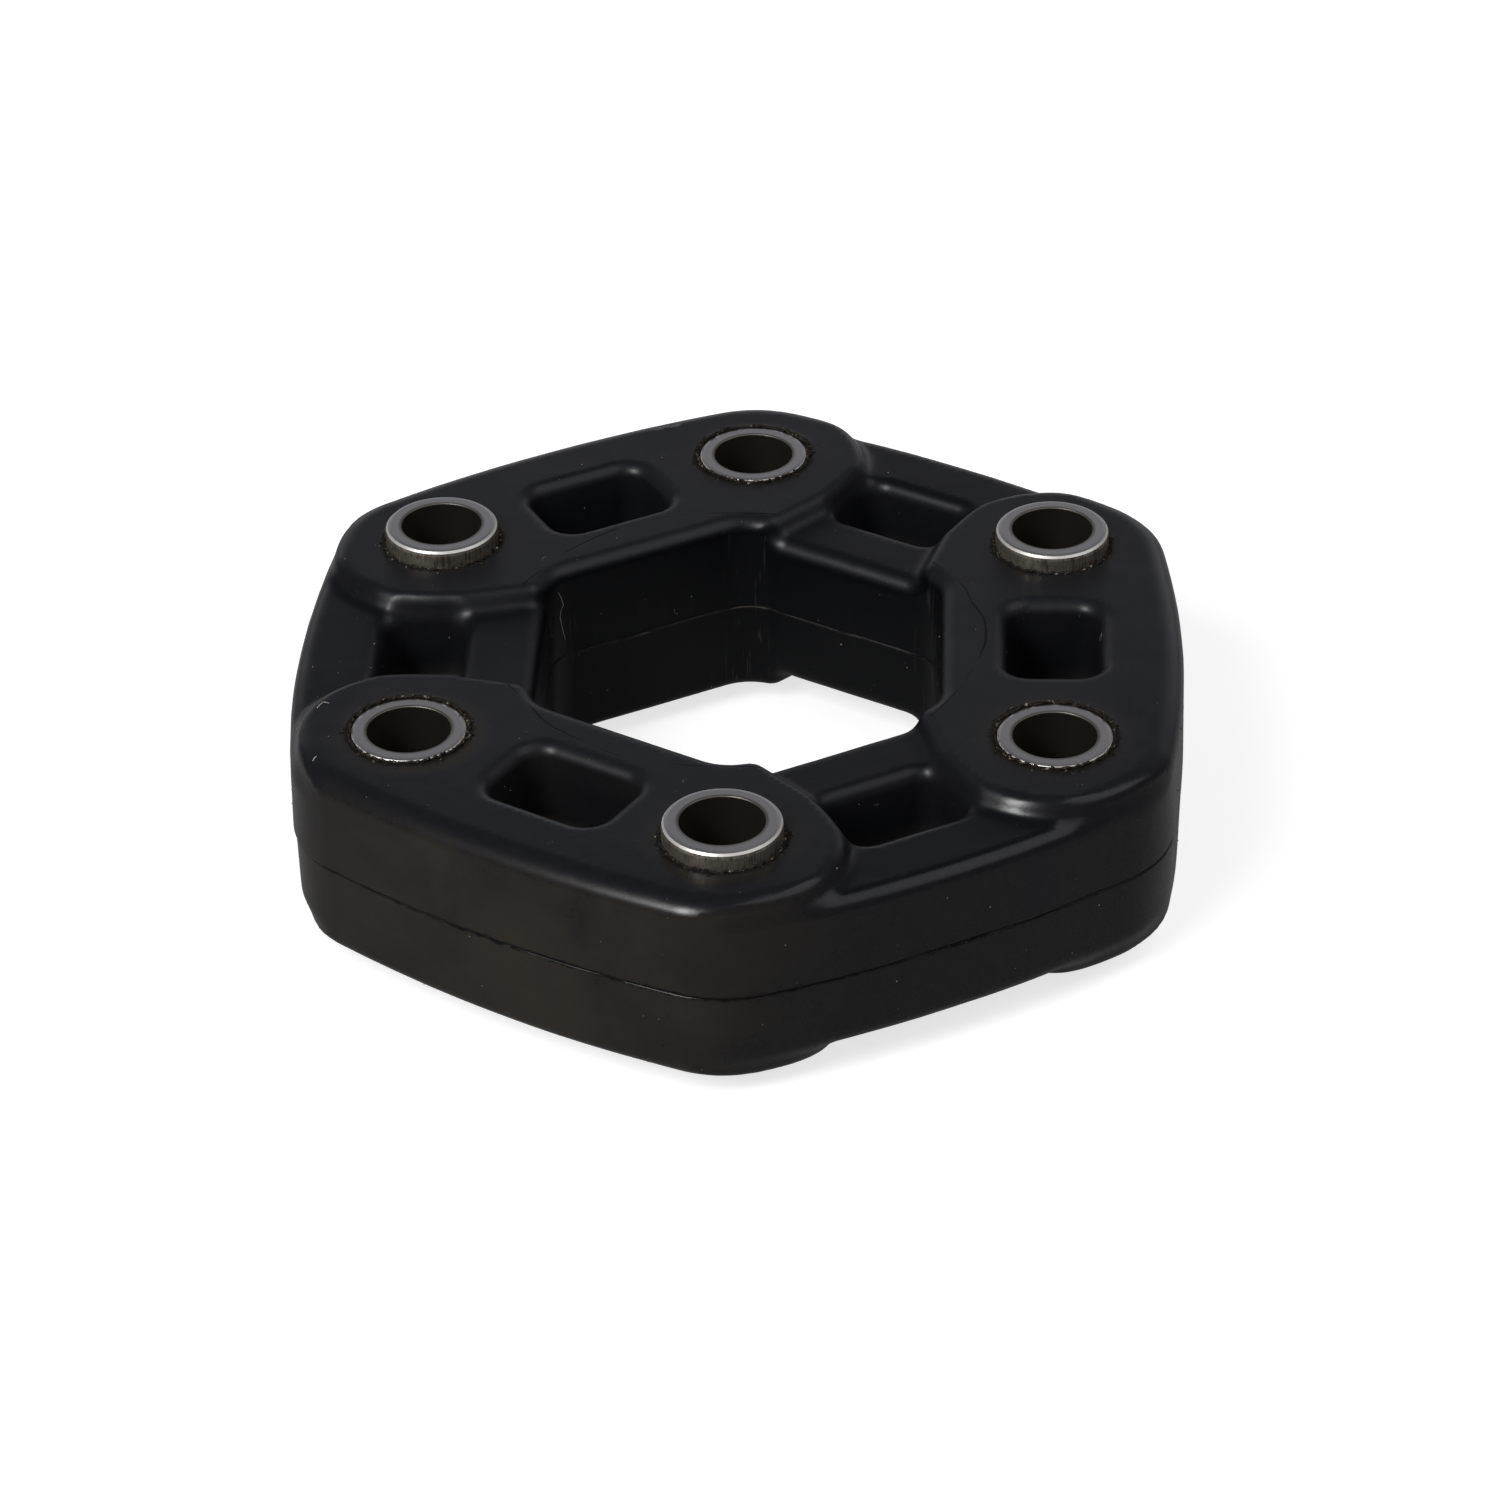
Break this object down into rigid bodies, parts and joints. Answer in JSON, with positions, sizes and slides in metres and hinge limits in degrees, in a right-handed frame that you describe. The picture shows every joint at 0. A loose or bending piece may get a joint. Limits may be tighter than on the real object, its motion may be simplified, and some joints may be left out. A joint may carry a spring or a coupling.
{
  "type": "driveshaft flex disc",
  "caption": "Rubber driveshaft flex disc: a hexagonal ring with steel bolt sleeves staggered to either side, stepped links with blind pockets, and cord loops moulded inside.",
  "frame": {"origin": "on the disc's axis, at the mid-plane of the rubber", "axes": "+Z is the disc's axis; the sleeves at 30, 150 and 270 degrees from +X stand proud towards +Z, and the others towards -Z; the thick links lie at 0, 120 and 240 degrees"},
  "size_m": [0.1108, 0.1196, 0.0304],
  "materials": {
    "rubber": "satin moulded black rubber, slightly dusty, with a faint brown bloom",
    "sleeve_steel": "turned steel, bright chamfers, brown surface rust on the sides and in the bores",
    "cord": "wound and dipped polyester cord",
    "collar": "moulded grey filled plastic"
  },
  "bodies": {
    "root": {"rubber_body": "rubber", "sleeve_1": "sleeve_steel", "sleeve_2": "sleeve_steel", "sleeve_3": "sleeve_steel", "sleeve_4": "sleeve_steel", "sleeve_5": "sleeve_steel", "sleeve_6": "sleeve_steel", "collar_1_top": "collar", "collar_1_upper": "collar", "collar_1_lower": "collar", "collar_1_under": "collar", "collar_2_top": "collar", "collar_2_upper": "collar", "collar_2_lower": "collar", "collar_2_under": "collar", "collar_3_top": "collar", "collar_3_upper": "collar", "collar_3_lower": "collar", "collar_3_under": "collar", "collar_4_top": "collar", "collar_4_upper": "collar", "collar_4_lower": "collar", "collar_4_under": "collar", "collar_5_top": "collar", "collar_5_upper": "collar", "collar_5_lower": "collar", "collar_5_under": "collar", "collar_6_top": "collar", "collar_6_upper": "collar", "collar_6_lower": "collar", "collar_6_under": "collar", "cord_loop_1_upper": "cord", "cord_loop_1_lower": "cord", "cord_loop_2_middle": "cord", "cord_loop_3_upper": "cord", "cord_loop_3_lower": "cord", "cord_loop_4_middle": "cord", "cord_loop_5_upper": "cord", "cord_loop_5_lower": "cord", "cord_loop_6_middle": "cord"}
  },
  "joints": []
}
